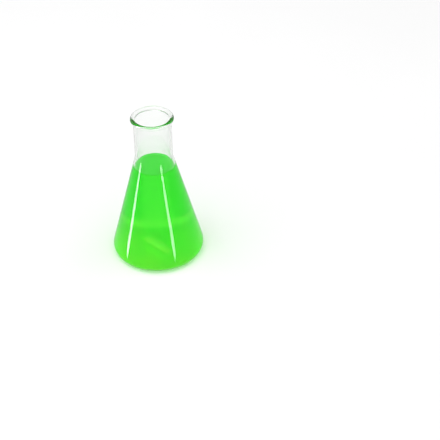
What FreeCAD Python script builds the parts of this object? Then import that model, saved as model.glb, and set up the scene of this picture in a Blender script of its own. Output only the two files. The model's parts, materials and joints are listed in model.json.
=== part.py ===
import FreeCAD, Part
import Sketcher
import math
import os

# A 250 mL narrow-neck conical (Erlenmeyer) flask: one piece of blown borosilicate glass, the
# solution in it, and the magnetic stir bar that lies on its floor.
# The origin is the centre of the resting ring, and +Z points up through the neck.
# Every piece is a solid of revolution.  A section is drawn in its body's XZ plane, where the
# first sketch coordinate is the distance from the vertical axis and the second is the height.

Vector = FreeCAD.Vector
HALF_TURN = math.pi
QUARTER_TURN = math.pi / 2
AXIS_Z = Vector(0, 0, 1)

# Sketcher's numbers for an edge's points and for a sketch's own origin and axes
START = 1
END = 2
CENTRE = 3
ORIGIN = (-1, 1)
SKETCH_X_AXIS = -1
SKETCH_Y_AXIS = -2

# name, value and meaning; lengths are in mm and the one angle is in degrees
DRIVING_SIZES = (
    ("flask_height", 145.0, "overall height"),
    ("body_diameter", 85.0, "widest outside diameter, at the heel"),
    ("neck_diameter", 34.0, "outside of the neck"),
    ("bore_diameter", 30.8, "inside of the neck"),
    ("bead_diameter", 38.6, "outside of the rolled rim"),
    ("shoulder_level", 106.5, "where the straight neck starts"),
    ("shoulder_radius", 18.0, "outside rounding between cone and neck"),
    ("heel_radius", 7.5, "outside rounding between base and cone"),
    ("inner_heel_radius", 5.5, "inside rounding between floor and cone"),
    ("bead_blend", 1.0, "small rounding where the bead leaves the neck"),
    ("floor_level", 2.8, "inside floor above the resting ring"),
    ("punt_height", 1.2, "how far the base is pushed up in its middle"),
    ("punt_radius", 31.5, "where the push-up meets the resting ring"),
    ("wetting_gap", 0.05, "between the solution and the glass"),
    ("fill_level", 93.5, "flat surface of the solution"),
    ("meniscus_rise", 1.6, "how far the solution climbs the glass"),
    ("meniscus_reach", 2.6, "how far in from the glass it starts to climb"),
    ("bar_length", 30.0, "stir bar from end to end"),
    ("bar_diameter", 6.0, "plain part of the stir bar"),
    ("ring_diameter", 7.6, "pivot ring round the middle of the bar"),
    ("ring_width", 3.0, "pivot ring measured along the bar"),
    ("magnet_length", 22.0, "magnet from end to end"),
    ("magnet_diameter", 3.6, "magnet across its round section"),
    ("moulding_gap", 0.05, "between the magnet and its jacket"),
    ("bar_clearance", 0.2, "under the pivot ring"),
    ("bar_heading", -63.0, "turn of the bar about the flask's axis"),
    ("sweep_clearance", 0.5, "between the spinning bar and the solution"),
)
SIZE = {name: value for name, value, _ in DRIVING_SIZES}


def make_sheet(doc):
    """The spreadsheet that drives every size."""
    sheet = doc.addObject("Spreadsheet::Sheet", "Sizes")
    for row, (name, value, meaning) in enumerate(DRIVING_SIZES, start=1):
        sheet.set(f"A{row}", name)
        sheet.set(f"B{row}", str(value))
        sheet.set(f"C{row}", meaning)
        sheet.setAlias(f"B{row}", name)
    doc.recompute()


# ---------------------------------------------------------------- sketch helpers


class Section:
    """A closed outline in a body's XZ plane, drawn edge by edge and held by named sizes."""

    def __init__(self, body, name):
        self.sketch = body.newObject("Sketcher::SketchObject", name)
        planes = [f for f in body.Origin.OriginFeatures if f.Role == "XZ_Plane"]
        self.sketch.AttachmentSupport = [(planes[0], "")]
        self.sketch.MapMode = "FlatFace"
        self.ends = []

    def line(self, x1, y1, x2, y2):
        """A straight edge from the first point to the second."""
        edge = self.sketch.addGeometry(Part.LineSegment(Vector(x1, y1), Vector(x2, y2)))
        self.ends.append((edge, START, END))
        return edge

    def arc(self, centre, radius, first_angle, last_angle):
        """A round edge, drawn either way round, from one angle to the other."""
        circle = Part.Circle(Vector(*centre), AXIS_Z, radius)
        low, high = sorted((first_angle, last_angle))
        edge = self.sketch.addGeometry(Part.ArcOfCircle(circle, low, high))
        forwards = last_angle > first_angle
        self.ends.append((edge, START, END) if forwards else (edge, END, START))
        return edge

    def helper_circle(self, centre, radius):
        """A construction circle, which guides other edges and isn't part of the outline."""
        return self.sketch.addGeometry(Part.Circle(Vector(*centre), AXIS_Z, radius), True)

    def hold(self, kind, *where):
        """A geometric constraint, such as Tangent or Vertical."""
        return self.sketch.addConstraint(Sketcher.Constraint(kind, *where))

    def join(self, smooth):
        """Joins each edge to the next all the way round, smoothly after the edges in smooth."""
        followers = self.ends[1:] + self.ends[:1]
        for (edge, _, last), (follower, first, _) in zip(self.ends, followers):
            kind = "Tangent" if edge in smooth else "Coincident"
            self.hold(kind, edge, last, follower, first)

    def size(self, kind, where, value, formula):
        """A dimension that starts at value and follows its formula over the spreadsheet."""
        index = self.hold(kind, *where, value)
        self.sketch.setExpression(f"Constraints[{index}]", formula)


def revolve(body, section, axis):
    """Turns the section a full turn about one of the sketch's own axes."""
    feature = body.newObject("PartDesign::Revolution", f"{body.Name}_revolution")
    feature.Profile = section.sketch
    feature.ReferenceAxis = (section.sketch, [axis])
    feature.Angle = 360.0
    body.Tip = feature


def new_body(doc, name):
    """A PartDesign body whose label is the node's name."""
    body = doc.addObject("PartDesign::Body", name)
    body.Label = name
    return body


def on_circle(centre, radius, angle):
    """The point of a circle at an angle."""
    return (centre[0] + radius * math.cos(angle), centre[1] + radius * math.sin(angle))


# ---------------------------------------------------------------- the cone


class Cone:
    """Where the cone's straight side lies: it touches the heel's and the shoulder's circles."""

    def __init__(self):
        self.heel = (SIZE["body_diameter"] / 2 - SIZE["heel_radius"], SIZE["heel_radius"])
        neck_radius = SIZE["neck_diameter"] / 2
        self.shoulder = (neck_radius + SIZE["shoulder_radius"], SIZE["shoulder_level"])
        across = self.shoulder[0] - self.heel[0]
        up = self.shoulder[1] - self.heel[1]
        reach = (SIZE["heel_radius"] + SIZE["shoulder_radius"]) / math.hypot(across, up)
        # direction of the outward normal of the cone's side
        self.normal = math.atan2(up, across) - math.acos(reach)
        self.wall = (SIZE["neck_diameter"] - SIZE["bore_diameter"]) / 2

    def side(self, level, depth):
        """The side's distance from the axis at a level, depth under the outer surface."""
        touch = on_circle(self.heel, SIZE["heel_radius"] - depth, self.normal)
        return touch[0] - (level - touch[1]) * math.tan(self.normal)

    def inner_heel(self, gap):
        """Centre of the inside rounding, gap clear of the glass."""
        level = SIZE["floor_level"] + SIZE["inner_heel_radius"]
        radius = SIZE["inner_heel_radius"] - gap
        inset = radius / math.cos(self.normal)
        return (self.side(level, self.wall + gap) - inset, level)


HEEL_CENTRE_X = "Sizes.body_diameter / 2 - Sizes.heel_radius"
WALL = "(Sizes.neck_diameter - Sizes.bore_diameter) / 2"
BEAD_RADIUS = "(Sizes.bead_diameter - Sizes.bore_diameter) / 4"


# ---------------------------------------------------------------- sub-parts


def make_flask_body(doc):
    """The glass: push-up, resting ring, heel, cone, shoulder, neck and rolled rim in one wall."""
    body = new_body(doc, "flask_body")
    section = Section(body, "glass_section")
    cone = Cone()
    neck = SIZE["neck_diameter"] / 2
    bore = SIZE["bore_diameter"] / 2
    punt = SIZE["punt_radius"]
    rise = SIZE["punt_height"]
    floor = SIZE["floor_level"]
    blend = SIZE["bead_blend"]
    shoulder_level = SIZE["shoulder_level"]
    shoulder = SIZE["shoulder_radius"]
    heel_side = on_circle(cone.heel, SIZE["heel_radius"], cone.normal)
    shoulder_side = on_circle(cone.shoulder, -shoulder, cone.normal)
    inner_shoulder_side = on_circle(cone.shoulder, -shoulder - cone.wall, cone.normal)
    inner_heel = cone.inner_heel(0.0)
    inner_heel_side = on_circle(inner_heel, SIZE["inner_heel_radius"], cone.normal)
    sphere = (punt**2 + rise**2) / (2 * rise)
    bead_radius = (SIZE["bead_diameter"] / 2 - bore) / 2
    bead = (bore + bead_radius, SIZE["flask_height"] - bead_radius)
    blend_x = neck + blend
    drop = math.sqrt((bead_radius + blend) ** 2 - (bead[0] - blend_x) ** 2)
    blend_level = bead[1] - drop
    to_bead = math.atan2(drop, bead[0] - blend_x)

    push_up = section.arc((0, rise - sphere), sphere, QUARTER_TURN, math.acos(punt / sphere))
    ring = section.line(punt, 0, cone.heel[0], 0)
    heel = section.arc(cone.heel, SIZE["heel_radius"], -QUARTER_TURN, cone.normal)
    side = section.line(*heel_side, *shoulder_side)
    bend = section.arc(cone.shoulder, shoulder, HALF_TURN + cone.normal, HALF_TURN)
    outside = section.line(neck, shoulder_level, neck, blend_level)
    under_bead = section.arc((blend_x, blend_level), blend, HALF_TURN, to_bead)
    rim = section.arc(bead, bead_radius, to_bead - HALF_TURN, HALF_TURN)
    inside = section.line(bore, bead[1], bore, shoulder_level)
    inner_bend = section.arc(
        cone.shoulder, shoulder + cone.wall, HALF_TURN, HALF_TURN + cone.normal
    )
    inner_side = section.line(*inner_shoulder_side, *inner_heel_side)
    inner_round = section.arc(inner_heel, SIZE["inner_heel_radius"], cone.normal, -QUARTER_TURN)
    flat_floor = section.line(inner_heel[0], floor, 0, floor)
    middle = section.line(0, floor, 0, rise)
    outer_edges = (ring, heel, side, bend, outside, under_bead, rim)
    inner_edges = (inside, inner_bend, inner_side, inner_round)
    section.join(smooth=outer_edges + inner_edges)

    section.hold("PointOnObject", push_up, CENTRE, SKETCH_Y_AXIS)
    section.hold("PointOnObject", push_up, START, SKETCH_X_AXIS)
    section.hold("PointOnObject", push_up, END, SKETCH_Y_AXIS)
    section.hold("PointOnObject", heel, START, SKETCH_X_AXIS)
    section.hold("Vertical", outside)
    section.hold("Vertical", inside)
    section.hold("Coincident", inner_bend, CENTRE, bend, CENTRE)
    section.hold("Horizontal", flat_floor)
    section.hold("PointOnObject", flat_floor, END, SKETCH_Y_AXIS)
    section.size("DistanceY", (*ORIGIN, push_up, END), rise, "Sizes.punt_height")
    section.size("DistanceX", (*ORIGIN, push_up, START), punt, "Sizes.punt_radius")
    section.size("DistanceX", (*ORIGIN, heel, CENTRE), cone.heel[0], HEEL_CENTRE_X)
    section.size("Radius", (heel,), SIZE["heel_radius"], "Sizes.heel_radius")
    section.size("Radius", (bend,), shoulder, "Sizes.shoulder_radius")
    section.size("DistanceY", (*ORIGIN, bend, CENTRE), shoulder_level, "Sizes.shoulder_level")
    section.size("DistanceX", (*ORIGIN, outside, END), neck, "Sizes.neck_diameter / 2")
    section.size("Radius", (under_bead,), blend, "Sizes.bead_blend")
    section.size("Radius", (rim,), bead_radius, BEAD_RADIUS)
    section.size(
        "DistanceY", (*ORIGIN, rim, CENTRE), bead[1], f"Sizes.flask_height - {BEAD_RADIUS}"
    )
    section.size("DistanceX", (*ORIGIN, inside, END), bore, "Sizes.bore_diameter / 2")
    section.size(
        "Radius", (inner_round,), SIZE["inner_heel_radius"], "Sizes.inner_heel_radius"
    )
    section.size("DistanceY", (*ORIGIN, flat_floor, END), floor, "Sizes.floor_level")
    section.hold("Parallel", inner_side, side)
    revolve(body, section, "V_Axis")
    return body, section


def make_liquid(doc):
    """The solution: it follows the inside of the glass and leaves room for the spinning bar."""
    body = new_body(doc, "liquid")
    section = Section(body, "liquid_section")
    cone = Cone()
    gap = SIZE["wetting_gap"]
    depth = cone.wall + gap
    foot = SIZE["floor_level"] + gap
    round_radius = SIZE["inner_heel_radius"] - gap
    centre = cone.inner_heel(gap)
    fill = SIZE["fill_level"]
    rise = SIZE["meniscus_rise"]
    reach = SIZE["meniscus_reach"]
    edge_x = cone.side(fill + rise, depth)
    curve = (reach**2 + rise**2) / (2 * rise)
    curve_centre = (edge_x - reach, fill + curve)
    sweep = SIZE["bar_length"] / 2 + SIZE["sweep_clearance"]
    roof = SIZE["floor_level"] + SIZE["bar_clearance"] + SIZE["ring_diameter"]
    roof += SIZE["sweep_clearance"]
    corner = SIZE["bar_diameter"] / 2
    heel_guide_radius = SIZE["heel_radius"] - depth
    shoulder_guide_radius = SIZE["shoulder_radius"] + depth

    base = section.line(sweep, foot, centre[0], foot)
    heel = section.arc(centre, round_radius, -QUARTER_TURN, cone.normal)
    side = section.line(*on_circle(centre, round_radius, cone.normal), edge_x, fill + rise)
    meniscus = section.arc(
        curve_centre, curve, math.atan2(rise - curve, reach), -QUARTER_TURN
    )
    surface = section.line(edge_x - reach, fill, 0, fill)
    middle = section.line(0, fill, 0, roof)
    ceiling = section.line(0, roof, sweep - corner, roof)
    bend = section.arc((sweep - corner, roof - corner), corner, QUARTER_TURN, 0)
    rim = section.line(sweep, roof - corner, sweep, foot)
    section.join(smooth=(base, heel, meniscus, ceiling, bend))
    heel_guide = section.helper_circle(cone.heel, heel_guide_radius)
    shoulder_guide = section.helper_circle(cone.shoulder, shoulder_guide_radius)

    section.hold("Tangent", side, heel_guide)
    section.hold("Tangent", side, shoulder_guide)
    section.hold("Horizontal", base)
    section.hold("Horizontal", surface)
    section.hold("Horizontal", ceiling)
    section.hold("Vertical", rim)
    section.hold("PointOnObject", middle, START, SKETCH_Y_AXIS)
    section.hold("PointOnObject", middle, END, SKETCH_Y_AXIS)
    section.size("DistanceX", (*ORIGIN, heel_guide, CENTRE), cone.heel[0], HEEL_CENTRE_X)
    section.size(
        "DistanceY", (*ORIGIN, heel_guide, CENTRE), cone.heel[1], "Sizes.heel_radius"
    )
    section.size(
        "Radius",
        (heel_guide,),
        heel_guide_radius,
        f"Sizes.heel_radius - {WALL} - Sizes.wetting_gap",
    )
    section.size(
        "DistanceX",
        (*ORIGIN, shoulder_guide, CENTRE),
        cone.shoulder[0],
        "Sizes.neck_diameter / 2 + Sizes.shoulder_radius",
    )
    section.size(
        "DistanceY",
        (*ORIGIN, shoulder_guide, CENTRE),
        cone.shoulder[1],
        "Sizes.shoulder_level",
    )
    section.size(
        "Radius",
        (shoulder_guide,),
        shoulder_guide_radius,
        f"Sizes.shoulder_radius + {WALL} + Sizes.wetting_gap",
    )
    section.size(
        "DistanceY", (*ORIGIN, base, START), foot, "Sizes.floor_level + Sizes.wetting_gap"
    )
    section.size(
        "Radius", (heel,), round_radius, "Sizes.inner_heel_radius - Sizes.wetting_gap"
    )
    section.size("DistanceY", (*ORIGIN, surface, END), fill, "Sizes.fill_level")
    section.size(
        "DistanceY",
        (*ORIGIN, side, END),
        fill + rise,
        "Sizes.fill_level + Sizes.meniscus_rise",
    )
    section.size(
        "DistanceX", (surface, START, side, END), reach, "Sizes.meniscus_reach"
    )
    section.size(
        "DistanceX",
        (*ORIGIN, rim, END),
        sweep,
        "Sizes.bar_length / 2 + Sizes.sweep_clearance",
    )
    section.size(
        "DistanceY",
        (*ORIGIN, middle, END),
        roof,
        "Sizes.floor_level + Sizes.bar_clearance + Sizes.ring_diameter"
        " + Sizes.sweep_clearance",
    )
    section.size("Radius", (bend,), corner, "Sizes.bar_diameter / 2")
    revolve(body, section, "V_Axis")
    return body, section


def lay_on_floor(body):
    """Lays a body that was made along X on the flask's floor, centred, at the bar's heading."""
    heading = FreeCAD.Rotation(AXIS_Z, SIZE["bar_heading"])
    body.Placement = FreeCAD.Placement(Vector(0, 0, 0), heading)
    body.setExpression(
        "Placement.Base.z",
        "Sizes.floor_level + Sizes.bar_clearance + Sizes.ring_diameter / 2",
    )
    body.setExpression("Placement.Rotation.Angle", "Sizes.bar_heading")


def make_stir_bar_jacket(doc):
    """The PTFE capsule round the magnet, with a rounded pivot ring about its middle."""
    body = new_body(doc, "stir_bar_jacket")
    section = Section(body, "jacket_section")
    half = SIZE["bar_length"] / 2
    radius = SIZE["bar_diameter"] / 2
    ring = SIZE["ring_diameter"] / 2
    ring_half = SIZE["ring_width"] / 2
    ring_height = ring - radius
    ring_curve = (ring_height**2 + ring_half**2) / (2 * ring_height)
    ring_slope = math.acos(ring_half / ring_curve)
    hole_half = SIZE["magnet_length"] / 2 + SIZE["moulding_gap"]
    hole_radius = SIZE["magnet_diameter"] / 2 + SIZE["moulding_gap"]

    nose = section.arc((half - radius, 0), radius, 0, QUARTER_TURN)
    top = section.line(half - radius, radius, ring_half, radius)
    bulge = section.arc(
        (0, ring - ring_curve), ring_curve, ring_slope, HALF_TURN - ring_slope
    )
    far_top = section.line(-ring_half, radius, radius - half, radius)
    tail = section.arc((radius - half, 0), radius, QUARTER_TURN, HALF_TURN)
    section.line(-half, 0, -hole_half, 0)
    far_wall = section.line(-hole_half, 0, -hole_half, hole_radius)
    roof = section.line(-hole_half, hole_radius, hole_half, hole_radius)
    wall = section.line(hole_half, hole_radius, hole_half, 0)
    section.line(hole_half, 0, half, 0)
    section.join(smooth=(nose, far_top))

    section.hold("Horizontal", top)
    section.hold("Horizontal", far_top)
    section.hold("Horizontal", roof)
    section.hold("Vertical", wall)
    section.hold("Vertical", far_wall)
    for edge, point in ((nose, CENTRE), (tail, CENTRE), (nose, START), (tail, END)):
        section.hold("PointOnObject", edge, point, SKETCH_X_AXIS)
    for edge, point in ((far_wall, START), (wall, END)):
        section.hold("PointOnObject", edge, point, SKETCH_X_AXIS)
    section.hold("PointOnObject", bulge, CENTRE, SKETCH_Y_AXIS)
    section.size("Radius", (nose,), radius, "Sizes.bar_diameter / 2")
    section.size("Radius", (tail,), radius, "Sizes.bar_diameter / 2")
    section.size("DistanceX", (*ORIGIN, nose, START), half, "Sizes.bar_length / 2")
    section.size("DistanceX", (tail, END, *ORIGIN), half, "Sizes.bar_length / 2")
    section.size("DistanceX", (*ORIGIN, bulge, START), ring_half, "Sizes.ring_width / 2")
    section.size(
        "Radius",
        (bulge,),
        ring_curve,
        "((Sizes.ring_diameter - Sizes.bar_diameter) ^ 2 + Sizes.ring_width ^ 2)"
        " / (4 * (Sizes.ring_diameter - Sizes.bar_diameter))",
    )
    section.size(
        "DistanceX",
        (*ORIGIN, wall, START),
        hole_half,
        "Sizes.magnet_length / 2 + Sizes.moulding_gap",
    )
    section.size(
        "DistanceX",
        (far_wall, START, *ORIGIN),
        hole_half,
        "Sizes.magnet_length / 2 + Sizes.moulding_gap",
    )
    section.size(
        "DistanceY",
        (*ORIGIN, wall, START),
        hole_radius,
        "Sizes.magnet_diameter / 2 + Sizes.moulding_gap",
    )
    revolve(body, section, "H_Axis")
    lay_on_floor(body)
    return body, section


def make_stir_bar_magnet(doc):
    """The bar magnet that is sealed in the jacket."""
    body = new_body(doc, "stir_bar_magnet")
    section = Section(body, "magnet_section")
    half = SIZE["magnet_length"] / 2
    radius = SIZE["magnet_diameter"] / 2

    section.line(-half, 0, half, 0)
    end = section.line(half, 0, half, radius)
    top = section.line(half, radius, -half, radius)
    far_end = section.line(-half, radius, -half, 0)
    section.join(smooth=())

    section.hold("Horizontal", top)
    section.hold("Vertical", end)
    section.hold("Vertical", far_end)
    section.hold("PointOnObject", end, START, SKETCH_X_AXIS)
    section.hold("PointOnObject", far_end, END, SKETCH_X_AXIS)
    section.size("DistanceX", (*ORIGIN, end, START), half, "Sizes.magnet_length / 2")
    section.size("DistanceX", (far_end, END, *ORIGIN), half, "Sizes.magnet_length / 2")
    section.size("DistanceY", (*ORIGIN, end, END), radius, "Sizes.magnet_diameter / 2")
    revolve(body, section, "H_Axis")
    lay_on_floor(body)
    return body, section


# ---------------------------------------------------------------- checks and export


def check_document(doc, bodies):
    """Stops the script if anything failed to build."""
    for item in doc.Objects:
        if "Invalid" in item.State or "Error" in item.State:
            raise RuntimeError(f"{item.Label} did not build: {item.State}")
    for body in bodies:
        if body.Shape.isNull() or not body.Shape.isValid() or len(body.Shape.Solids) != 1:
            raise RuntimeError(f"{body.Label} is not one valid solid")


def main():
    doc = FreeCAD.newDocument("conical_flask")
    make_sheet(doc)
    made = [
        make_flask_body(doc),
        make_liquid(doc),
        make_stir_bar_jacket(doc),
        make_stir_bar_magnet(doc),
    ]
    doc.recompute()
    bodies = [body for body, section in made]
    check_document(doc, bodies)
    for body, section in made:
        if not section.sketch.FullyConstrained:
            raise RuntimeError(f"{body.Label}'s section isn't held by its sizes")
    os.makedirs("parts", exist_ok=True)
    for body in bodies:
        body.Shape.exportStep(f"parts/{body.Label}.step")
        print(f"{body.Label}: {body.Shape.Volume / 1000:.2f} cm3")


main()
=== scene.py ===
import bpy
import json
import math
from mathutils import Matrix, Vector


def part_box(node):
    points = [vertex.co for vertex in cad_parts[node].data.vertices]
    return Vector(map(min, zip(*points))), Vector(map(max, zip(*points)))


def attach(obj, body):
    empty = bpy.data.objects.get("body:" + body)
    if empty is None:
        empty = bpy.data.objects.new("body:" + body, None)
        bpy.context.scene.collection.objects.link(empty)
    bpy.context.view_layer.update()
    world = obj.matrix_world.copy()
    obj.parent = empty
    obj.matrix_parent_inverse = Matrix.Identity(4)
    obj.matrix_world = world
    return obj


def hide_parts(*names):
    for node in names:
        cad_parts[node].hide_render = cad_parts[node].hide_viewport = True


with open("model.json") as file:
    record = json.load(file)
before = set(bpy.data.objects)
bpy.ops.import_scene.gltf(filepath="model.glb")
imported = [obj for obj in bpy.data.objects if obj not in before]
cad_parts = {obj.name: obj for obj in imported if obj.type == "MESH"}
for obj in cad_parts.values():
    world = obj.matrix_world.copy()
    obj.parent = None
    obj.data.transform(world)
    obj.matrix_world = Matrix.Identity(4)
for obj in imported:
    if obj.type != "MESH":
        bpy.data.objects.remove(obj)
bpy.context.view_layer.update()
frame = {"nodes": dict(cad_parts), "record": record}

# A conical flask of green solution with a stir bar on its floor.  Lengths are in metres.

# ---------------------------------------------------------------- sizes from the frame

RECORD = frame["record"]
MOUNTS = {mount["name"]: mount for mount in RECORD["mounts"]}
MM = 0.001

FLASK_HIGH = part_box("flask_body")[1]
HEIGHT = FLASK_HIGH.z
BODY_RADIUS = FLASK_HIGH.x
BORE_RADIUS = MOUNTS["neck_bore"]["dims"]["r_mm"] * MM
BORE_LENGTH = MOUNTS["neck_bore"]["dims"]["length_mm"] * MM
NECK_RADIUS = MOUNTS["neck_grip"]["dims"]["r_mm"] * MM
SHOULDER_LEVEL = MOUNTS["neck_bore"]["pos_m"][2] - BORE_LENGTH / 2
BEAD_RADIUS = HEIGHT - SHOULDER_LEVEL - BORE_LENGTH
WALL = NECK_RADIUS - BORE_RADIUS

# the roundings that the record doesn't hold, as in the CAD
SHOULDER_RADIUS = 0.018
HEEL_RADIUS = 0.0075
INNER_HEEL_RADIUS = 0.0055
BEAD_BLEND = 0.001
PUNT_HEIGHT = 0.0012
PUNT_RADIUS = 0.0315

LIQUID_LOW, LIQUID_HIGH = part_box("liquid")
CAD_GAP = 0.00005  # between the liquid and the glass in the CAD
FLOOR_LEVEL = LIQUID_LOW.z - CAD_GAP
MENISCUS_RISE = 0.0016
MENISCUS_REACH = 0.0026
RIM_LEVEL = LIQUID_HIGH.z
FILL_LEVEL = RIM_LEVEL - MENISCUS_RISE
FILM = 0.00002  # between the solution and the glass here

SEGMENTS = 192
QUARTER_TURN = math.pi / 2
HALF_TURN = math.pi


# ---------------------------------------------------------------- mesh helpers


def arc(centre, radius, first_angle, last_angle, steps):
    """Points on a circle's arc, as (distance from the axis, height)."""
    points = []
    for step in range(steps + 1):
        angle = first_angle + (last_angle - first_angle) * step / steps
        points.append((centre[0] + radius * math.cos(angle), centre[1] + radius * math.sin(angle)))
    return points


def straight(first, last, steps):
    """Evenly spaced points on a straight line, without its two ends."""
    return [
        (
            first[0] + (last[0] - first[0]) * step / steps,
            first[1] + (last[1] - first[1]) * step / steps,
        )
        for step in range(1, steps)
    ]


def lathe(name, outline, materials, first_wet=None):
    """A closed surface of revolution about the Z axis, from an outline that starts and ends on
    the axis.  Each material comes with the number of the outline's point that it starts at.  With
    first_wet, the attribute "wetted" is 1 on the faces from that point on, and 0 before it."""
    rings = outline[1:-1]
    vertices = [(0.0, 0.0, outline[0][1])]
    for radius, level in rings:
        for segment in range(SEGMENTS):
            angle = 2 * math.pi * segment / SEGMENTS
            vertices.append((radius * math.cos(angle), radius * math.sin(angle), level))
    vertices.append((0.0, 0.0, outline[-1][1]))
    last = len(vertices) - 1
    last_band = len(outline) - 2
    faces = []
    bands = []
    for segment in range(SEGMENTS):
        following = (segment + 1) % SEGMENTS
        faces.append((0, 1 + following, 1 + segment))
        bands.append(0)
        for ring in range(len(rings) - 1):
            low = 1 + ring * SEGMENTS
            high = low + SEGMENTS
            faces.append((low + segment, low + following, high + following, high + segment))
            bands.append(ring + 1)
        top = 1 + (len(rings) - 1) * SEGMENTS
        faces.append((top + segment, top + following, last))
        bands.append(last_band)
    mesh = bpy.data.meshes.new(name)
    mesh.from_pydata(vertices, [], faces)
    slots = []
    for start, material in materials:
        if mesh.materials.find(material.name) < 0:
            mesh.materials.append(material)
        slots.append((start, mesh.materials.find(material.name)))
    for face, band in zip(mesh.polygons, bands):
        face.material_index = [slot for start, slot in slots if start <= band][-1]
    if first_wet is not None:
        wetted = mesh.attributes.new("wetted", "FLOAT", "FACE")
        wetted.data.foreach_set("value", [float(band >= first_wet) for band in bands])
    mesh.shade_smooth()
    piece = bpy.data.objects.new(name, mesh)
    bpy.context.scene.collection.objects.link(piece)
    return piece


# ---------------------------------------------------------------- the flask's shape

HEEL = (BODY_RADIUS - HEEL_RADIUS, HEEL_RADIUS)
SHOULDER = (NECK_RADIUS + SHOULDER_RADIUS, SHOULDER_LEVEL)
CONE_NORMAL = math.atan2(SHOULDER[1] - HEEL[1], SHOULDER[0] - HEEL[0]) - math.acos(
    (HEEL_RADIUS + SHOULDER_RADIUS) / math.dist(HEEL, SHOULDER)
)


def cone_side(level, depth):
    """The cone's distance from the axis at a level, depth under its outer surface."""
    x = HEEL[0] + (HEEL_RADIUS - depth) * math.cos(CONE_NORMAL)
    z = HEEL[1] + (HEEL_RADIUS - depth) * math.sin(CONE_NORMAL)
    return x - (level - z) * math.tan(CONE_NORMAL)


def inner_heel_centre():
    """Centre of the rounding between the floor and the cone."""
    level = FLOOR_LEVEL + INNER_HEEL_RADIUS
    return (cone_side(level, WALL) - INNER_HEEL_RADIUS / math.cos(CONE_NORMAL), level)


def make_glass(glass):
    """The blown glass wall in one closed surface, from under the base over the rim to the floor
    inside, with its faces under the solution marked as wetted."""
    sphere = (PUNT_RADIUS**2 + PUNT_HEIGHT**2) / (2 * PUNT_HEIGHT)
    bead = (BORE_RADIUS + BEAD_RADIUS, HEIGHT - BEAD_RADIUS)
    blend_x = NECK_RADIUS + BEAD_BLEND
    drop = math.sqrt((BEAD_RADIUS + BEAD_BLEND) ** 2 - (bead[0] - blend_x) ** 2)
    to_bead = math.atan2(drop, bead[0] - blend_x)
    outer_bend = arc(SHOULDER, SHOULDER_RADIUS, HALF_TURN + CONE_NORMAL, HALF_TURN, 12)
    blend = arc((blend_x, bead[1] - drop), BEAD_BLEND, HALF_TURN, to_bead, 6)
    inner_bend = arc(SHOULDER, SHOULDER_RADIUS + WALL, HALF_TURN, HALF_TURN + CONE_NORMAL, 12)
    heel = arc(HEEL, HEEL_RADIUS, -QUARTER_TURN, CONE_NORMAL, 24)
    inner_heel = arc(inner_heel_centre(), INNER_HEEL_RADIUS, CONE_NORMAL, -QUARTER_TURN, 18)
    outline = arc(
        (0, PUNT_HEIGHT - sphere), sphere, QUARTER_TURN, math.acos(PUNT_RADIUS / sphere), 10
    )
    outline += heel
    outline += straight(heel[-1], outer_bend[0], 12)
    outline += outer_bend
    outline += straight(outer_bend[-1], blend[0], 6)
    outline += blend
    outline += arc(bead, BEAD_RADIUS, to_bead - HALF_TURN, HALF_TURN, 36)[1:]
    outline += straight((BORE_RADIUS, bead[1]), inner_bend[0], 6)
    outline += inner_bend
    water_line = (cone_side(RIM_LEVEL, WALL), RIM_LEVEL)
    outline += straight(inner_bend[-1], water_line, 3)
    first_wet = len(outline)
    outline += [water_line]
    outline += straight(water_line, inner_heel[0], 12)
    outline += inner_heel
    outline += straight(inner_heel[-1], (0, FLOOR_LEVEL), 8)
    outline += [(0, FLOOR_LEVEL)]
    return lathe("flask_glass", outline, ((0, glass),), first_wet)


def make_solution(side, surface):
    """The solution with its meniscus, just inside the glass."""
    depth = WALL + FILM
    foot = FLOOR_LEVEL + FILM
    heel_radius = INNER_HEEL_RADIUS - FILM
    edge = cone_side(RIM_LEVEL, depth)
    curve = (MENISCUS_REACH**2 + MENISCUS_RISE**2) / (2 * MENISCUS_RISE)
    heel = arc(inner_heel_centre(), heel_radius, -QUARTER_TURN, CONE_NORMAL, 18)
    meniscus = arc(
        (edge - MENISCUS_REACH, FILL_LEVEL + curve),
        curve,
        math.atan2(MENISCUS_RISE - curve, MENISCUS_REACH),
        -QUARTER_TURN,
        14,
    )
    outline = [(0, foot)]
    outline += straight((0, foot), heel[0], 8)
    outline += heel
    outline += straight(heel[-1], meniscus[0], 24)
    first_top = len(outline)
    outline += meniscus
    outline += straight(meniscus[-1], (0, FILL_LEVEL), 10)
    outline += [(0, FILL_LEVEL)]
    return lathe("green_solution", outline, ((0, side), (first_top, surface)))


# ---------------------------------------------------------------- materials


NOISE_LOW, NOISE_HIGH = 0.3, 0.7  # where most of a noise texture's values lie


class Nodes:
    """A node tree, with short ways to add to it."""

    def __init__(self, tree):
        self.tree = tree

    def node(self, kind, **values):
        made = self.tree.nodes.new(kind)
        for name, value in values.items():
            setattr(made, name, value)
        return made

    def link(self, source, output, target, socket):
        self.tree.links.new(source.outputs[output], target.inputs[socket])

    def ranged(self, source, low, high, from_low=NOISE_LOW, from_high=NOISE_HIGH, output=0):
        """One output of the source, mapped to a range and clamped to it."""
        mapped = self.node("ShaderNodeMapRange")
        mapped.inputs["From Min"].default_value = from_low
        mapped.inputs["From Max"].default_value = from_high
        mapped.inputs["To Min"].default_value = low
        mapped.inputs["To Max"].default_value = high
        self.link(source, output, mapped, "Value")
        return mapped

    def mixed(self, source, first, second):
        """A colour from first to second by the source's first output."""
        mix = self.node("ShaderNodeMix", data_type="RGBA")
        mix.inputs["A"].default_value = (*first, 1.0)
        mix.inputs["B"].default_value = (*second, 1.0)
        self.link(source, 0, mix, "Factor")
        return mix


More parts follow.
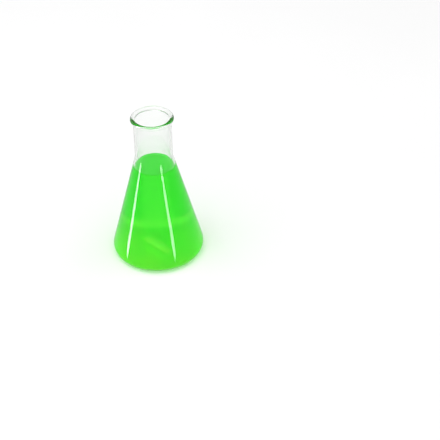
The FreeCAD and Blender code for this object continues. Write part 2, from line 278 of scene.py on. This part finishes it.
class Shading(Nodes):
    """A new material with a Principled shader."""

    def __init__(self, name):
        self.material = bpy.data.materials.new(name)
        self.material.use_nodes = True
        super().__init__(self.material.node_tree)
        self.tree.nodes.clear()
        self.output = self.node("ShaderNodeOutputMaterial")
        self.shader = self.node("ShaderNodeBsdfPrincipled")
        self.link(self.shader, "BSDF", self.output, "Surface")

    def set(self, **values):
        """Constant values on the shader's own sockets; an underscore stands for a space."""
        for name, value in values.items():
            self.shader.inputs[name.replace("_", " ")].default_value = value

    def noise(self, scale, detail=3.0, stretch=(1, 1, 1)):
        """Noise in the object's own space; stretch multiplies its frequency along X, Y and Z."""
        place = self.node("ShaderNodeTexCoord")
        mapping = self.node("ShaderNodeMapping")
        mapping.inputs["Scale"].default_value = stretch
        texture = self.node("ShaderNodeTexNoise")
        texture.inputs["Scale"].default_value = scale
        texture.inputs["Detail"].default_value = detail
        self.link(place, "Object", mapping, "Vector")
        self.link(mapping, "Vector", texture, "Vector")
        return texture

    def blend(self, source, first, second):
        """The base colour, from first to second by the source's first output."""
        self.link(self.mixed(source, first, second), "Result", self.shader, "Base Color")

    def roughen(self, source, low, high):
        """Roughness between low and high, by a noise."""
        self.link(self.ranged(source, low, high), "Result", self.shader, "Roughness")

    def bump(self, source, height):
        """Relief of this height, in metres."""
        relief = self.node("ShaderNodeBump")
        relief.inputs["Strength"].default_value = 1.0
        relief.inputs["Distance"].default_value = height
        self.link(source, 0, relief, "Height")
        self.link(relief, "Normal", self.shader, "Normal")

    def absorb(self, colour, density):
        """Depth colour, with constant values on the volume's own sockets."""
        volume = self.node("ShaderNodeVolumeAbsorption")
        volume.inputs["Color"].default_value = (*colour, 1.0)
        volume.inputs["Density"].default_value = density
        self.link(volume, "Volume", self.output, "Volume")


GLASS_INDEX = 1.473
GLASS_FACE_ON = (0.985, 0.99, 0.985)
# painted shade: the dry glass colour seen edge-on, which greys the glass edges
GLASS_PAINTED_EDGE_SHADE = (0.80, 0.83, 0.81)
GLASS_EDGE_BLEND = 0.25
GLASS_DEPTH = 16.0
GLASS_DEPTH_COLOUR = (0.55, 0.68, 0.53)

WATER_INDEX = 1.333
SOLUTION_CLARITY = 0.67
# painted light: the solution glows a little by emission, to look brighter
SOLUTION_PAINTED_GLOW_STRENGTH = 0.05
SOLUTION_PAINTED_GLOW_TINT = (0.07, 1.0, 0.01)
# painted light: a paler, yellower green at the foot, standing in for light from under the flask
SOLUTION_PAINTED_UNDERLIGHT_COLOUR = (0.34, 0.99, 0.05)
SOLUTION_SIDE_COLOUR = (0.068, 0.86, 0.035)
# painted shade: the solution's top surface gets a darker green than its side
SOLUTION_SURFACE_PAINTED_SHADE_COLOUR = (0.036, 0.75, 0.016)
SOLUTION_PAINTED_UNDERLIGHT_LEVEL = 0.008
SOLUTION_SIDE_LEVEL = 0.043
SOLUTION_DRIFT = 0.012


def blown_glass():
    """Clear borosilicate glass, fire-polished, with the faint waves of blowing and a slight green
    depth.  On the wetted faces, its index is the one relative to water.  On the dry faces its
    colour turns greyer towards the grazing edges: painted shade that draws grey edge lines."""
    look = Shading("borosilicate_glass")
    look.set(Transmission_Weight=1.0, IOR=GLASS_INDEX)
    wetted = look.node("ShaderNodeAttribute", attribute_name="wetted")
    index = look.ranged(wetted, GLASS_INDEX, GLASS_INDEX / WATER_INDEX, 0.0, 1.0, output="Fac")
    look.link(index, "Result", look.shader, "IOR")
    dry = look.ranged(wetted, 1.0, 0.0, 0.0, 1.0, output="Fac")
    # painted shade: the dry glass greys towards its grazing edges
    edge = look.node("ShaderNodeLayerWeight")
    edge.inputs["Blend"].default_value = GLASS_EDGE_BLEND
    dry_painted_edge_shade = look.node("ShaderNodeMath", operation="MULTIPLY")
    look.link(edge, "Facing", dry_painted_edge_shade, 0)
    look.link(dry, "Result", dry_painted_edge_shade, 1)
    look.blend(dry_painted_edge_shade, GLASS_FACE_ON, GLASS_PAINTED_EDGE_SHADE)
    look.roughen(look.noise(90.0), 0.004, 0.02)
    look.bump(look.noise(28.0, detail=1.0, stretch=(1, 1, 0.35)), 0.00006)
    look.absorb(GLASS_DEPTH_COLOUR, GLASS_DEPTH)
    return look.material


def solution(name, index, colour):
    """A bright green dye in water, slightly cloudy, with a painted glow and painted yellower light
    at the foot.
    """
    look = Shading(name)
    look.set(Transmission_Weight=SOLUTION_CLARITY, IOR=index)
    # painted light: an even green glow on the solution's surfaces
    look.set(Emission_Color=(*SOLUTION_PAINTED_GLOW_TINT, 1.0), Emission_Strength=SOLUTION_PAINTED_GLOW_STRENGTH)
    place = look.node("ShaderNodeTexCoord")
    height = look.node("ShaderNodeSeparateXYZ")
    look.link(place, "Object", height, "Vector")
    drift = look.ranged(look.noise(22.0, detail=2.0), -SOLUTION_DRIFT, SOLUTION_DRIFT)
    level = look.node("ShaderNodeMath", operation="ADD")
    look.link(height, "Z", level, 0)
    look.link(drift, "Result", level, 1)
    # painted light: the colour turns paler and yellower towards the foot, with a noisy edge
    painted_underlight_fade = look.ranged(level, 0.0, 1.0, SOLUTION_PAINTED_UNDERLIGHT_LEVEL, SOLUTION_SIDE_LEVEL)
    look.blend(painted_underlight_fade, SOLUTION_PAINTED_UNDERLIGHT_COLOUR, colour)
    look.roughen(look.noise(40.0), 0.0, 0.02)
    look.bump(look.noise(60.0, detail=1.0), 0.00004)
    return look.material


def ptfe():
    """White PTFE: waxy, a little translucent, with fine moulding mottle and scuffs."""
    look = Shading("ptfe")
    look.set(Subsurface_Weight=0.25, Subsurface_Scale=0.002, IOR=1.35)
    mottle = look.noise(350.0, detail=5.0)
    look.blend(look.ranged(mottle, 0.0, 1.0), (0.88, 0.88, 0.86), (0.96, 0.96, 0.95))
    scuffs = look.noise(900.0, detail=4.0)
    look.roughen(scuffs, 0.32, 0.5)
    look.bump(scuffs, 0.00002)
    return look.material


def ferrite():
    """Dark sintered magnet: grainy and dull."""
    look = Shading("magnet")
    look.set(Metallic=0.6)
    grain = look.noise(1500.0, detail=6.0)
    look.blend(look.ranged(grain, 0.0, 1.0), (0.05, 0.05, 0.055), (0.16, 0.16, 0.17))
    look.roughen(grain, 0.45, 0.7)
    look.bump(grain, 0.00002)
    return look.material


def give(piece, material):
    """Puts one material on a piece, in place of what it had."""
    if not piece.data.materials:
        piece.data.materials.append(material)
    for index in range(len(piece.data.materials)):
        piece.data.materials[index] = material


# ---------------------------------------------------------------- the pieces

flask_glass = make_glass(blown_glass())
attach(flask_glass, "flask")
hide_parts("flask_body")

# against the glass, the glass already does the bending, so the solution's side has an index of 1
green_solution = make_solution(
    solution("green_solution_side", 1.0, SOLUTION_SIDE_COLOUR),
    # painted shade: the top surface gets the darker green
    solution("green_solution_surface", WATER_INDEX, SOLUTION_SURFACE_PAINTED_SHADE_COLOUR),
)
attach(green_solution, "flask")
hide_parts("liquid")

give(frame["nodes"]["stir_bar_jacket"], ptfe())
give(frame["nodes"]["stir_bar_magnet"], ferrite())


# ---------------------------------------------------------------- floor and light

FLOOR_REACH = 60.0

# the surroundings' strength and colour; the numbers in pairs are heights of the direction (its Z)
OVER_FLOOR = 1.12
UNDER_FLOOR = 0.6
HORIZON = (-0.06, 0.0)
FOOT_LIGHT = 0.9
FOOT_COLOUR = (0.55, 1.0, 0.38)
FOOT_RANGE = (-0.88, -0.74)
CARD_TONE = 0.25
CARD_DIRECTION = (0.0, 0.77, 0.64)
CARD_EDGE = (0.70, 0.90)  # cosines of the angle from the card's middle


def make_floor():
    """A wide pale floor, which mirror reflections don't show."""
    mesh = bpy.data.meshes.new("floor")
    signs = ((-1, -1), (1, -1), (1, 1), (-1, 1))
    mesh.from_pydata([(x * FLOOR_REACH, y * FLOOR_REACH, 0) for x, y in signs], [], [(0, 1, 2, 3)])
    floor = bpy.data.objects.new("floor", mesh)
    bpy.context.scene.collection.objects.link(floor)
    look = Shading("floor")
    look.set(Roughness=1.0, Specular_IOR_Level=0.0)
    tint = look.ranged(look.noise(3.0), 0.0, 1.0)
    look.blend(tint, (0.93, 0.93, 0.93), (0.95, 0.95, 0.95))
    give(floor, look.material)
    floor.visible_glossy = False


def make_world():
    """White surroundings.  Only mirror reflections show their part under the floor: it is duller,
    and green straight down, like a floor lit through the solution.  A dark card high behind the
    flask keeps its rim and the solution's surface clear."""
    world = bpy.data.worlds.new("studio")
    world.use_nodes = True
    sky = Nodes(world.node_tree)
    background = sky.tree.nodes["Background"]
    direction = sky.node("ShaderNodeTexCoord")
    split = sky.node("ShaderNodeSeparateXYZ")
    sky.link(direction, "Generated", split, "Vector")
    general = sky.ranged(split, UNDER_FLOOR, OVER_FLOOR, *HORIZON, output="Z")
    foot = sky.ranged(split, 1.0, 0.0, *FOOT_RANGE, output="Z")
    sky.link(sky.mixed(foot, (1.0, 1.0, 1.0), FOOT_COLOUR), "Result", background, "Color")
    with_foot = sky.node("ShaderNodeMath", operation="MULTIPLY_ADD")
    with_foot.inputs[1].default_value = FOOT_LIGHT
    sky.link(foot, "Result", with_foot, 0)
    sky.link(general, "Result", with_foot, 2)
    towards_card = sky.node("ShaderNodeVectorMath", operation="DOT_PRODUCT")
    towards_card.inputs[1].default_value = CARD_DIRECTION
    sky.link(direction, "Generated", towards_card, 0)
    card = sky.ranged(towards_card, 1.0, CARD_TONE, *CARD_EDGE, output="Value")
    card.interpolation_type = "SMOOTHSTEP"
    with_card = sky.node("ShaderNodeMath", operation="MULTIPLY")
    sky.link(with_foot, "Value", with_card, 0)
    sky.link(card, "Result", with_card, 1)
    sky.link(with_card, "Value", background, "Strength")
    bpy.context.scene.world = world


def make_lamp(name, place, aim, size, power):
    """A rectangular soft box at place that faces aim."""
    lamp = bpy.data.lights.new(name, "AREA")
    lamp.shape = "RECTANGLE"
    lamp.size, lamp.size_y = size
    lamp.energy = power
    holder = bpy.data.objects.new(name, lamp)
    holder.location = place
    holder.rotation_mode = "QUATERNION"
    holder.rotation_quaternion = (Vector(aim) - Vector(place)).to_track_quat("-Z", "Y")
    bpy.context.scene.collection.objects.link(holder)
    return holder


def make_strip(name, low, high, width, radiance):
    """A long narrow soft box from low to high that faces the flask.  Only mirror reflections show
    it, as a thin light line down the glass, so it may reach lower than the floor."""
    low, high = Vector(low), Vector(high)
    along = (high - low).normalized()
    away = (low + high) / 2
    away -= away.dot(along) * along
    away.normalize()
    length = (high - low).length
    strip = make_lamp(name, (low + high) / 2, (0, 0, 0), (width, length), 0.0)
    strip.data.energy = radiance * math.pi * width * length
    across = along.cross(away)
    turn = Matrix((across, along, away)).transposed()
    strip.rotation_quaternion = turn.to_quaternion()
    strip.visible_camera = False
    strip.visible_diffuse = False
    strip.visible_transmission = False


make_floor()
make_world()
make_lamp("key", (-0.3, -0.2, 1.2), (0, 0, 0.05), (0.8, 0.8), 3.5)
make_strip("strip_left", (-0.982, -0.103, -0.29), (-0.98, -0.377, 0.70), 0.13, 12.5)
make_strip("strip_right", (0.629, -0.803, -0.183), (0.237, -1.03, 0.70), 0.12, 10.0)


# ---------------------------------------------------------------- camera

CAMERA_PLACE = Vector((0.0, -0.8066, 0.6478))
CAMERA_AIM = Vector((0.0588, 0.0, 0.0267))
CAMERA_ROLL = math.radians(-0.65)
LENS_MM = 88.3
SENSOR_MM = 36.0


def make_camera():
    """The camera at the photograph's viewing angle, above the flask and in front of it."""
    camera = bpy.data.cameras.new("camera")
    camera.lens = LENS_MM
    camera.sensor_width = SENSOR_MM
    holder = bpy.data.objects.new("camera", camera)
    holder.location = CAMERA_PLACE
    facing = (CAMERA_AIM - CAMERA_PLACE).to_track_quat("-Z", "Y").to_matrix().to_4x4()
    turned = facing @ Matrix.Rotation(CAMERA_ROLL, 4, "Z")
    holder.rotation_mode = "QUATERNION"
    holder.rotation_quaternion = turned.to_quaternion()
    bpy.context.scene.collection.objects.link(holder)
    bpy.context.scene.camera = holder


make_camera()

# light goes many times through and along the glass before it leaves it
BOUNCES = 48
bpy.context.scene.cycles.max_bounces = BOUNCES
bpy.context.scene.cycles.glossy_bounces = BOUNCES
bpy.context.scene.cycles.transmission_bounces = BOUNCES
bpy.context.scene.cycles.blur_glossy = 0.0
bpy.context.scene.view_settings.view_transform = "Standard"
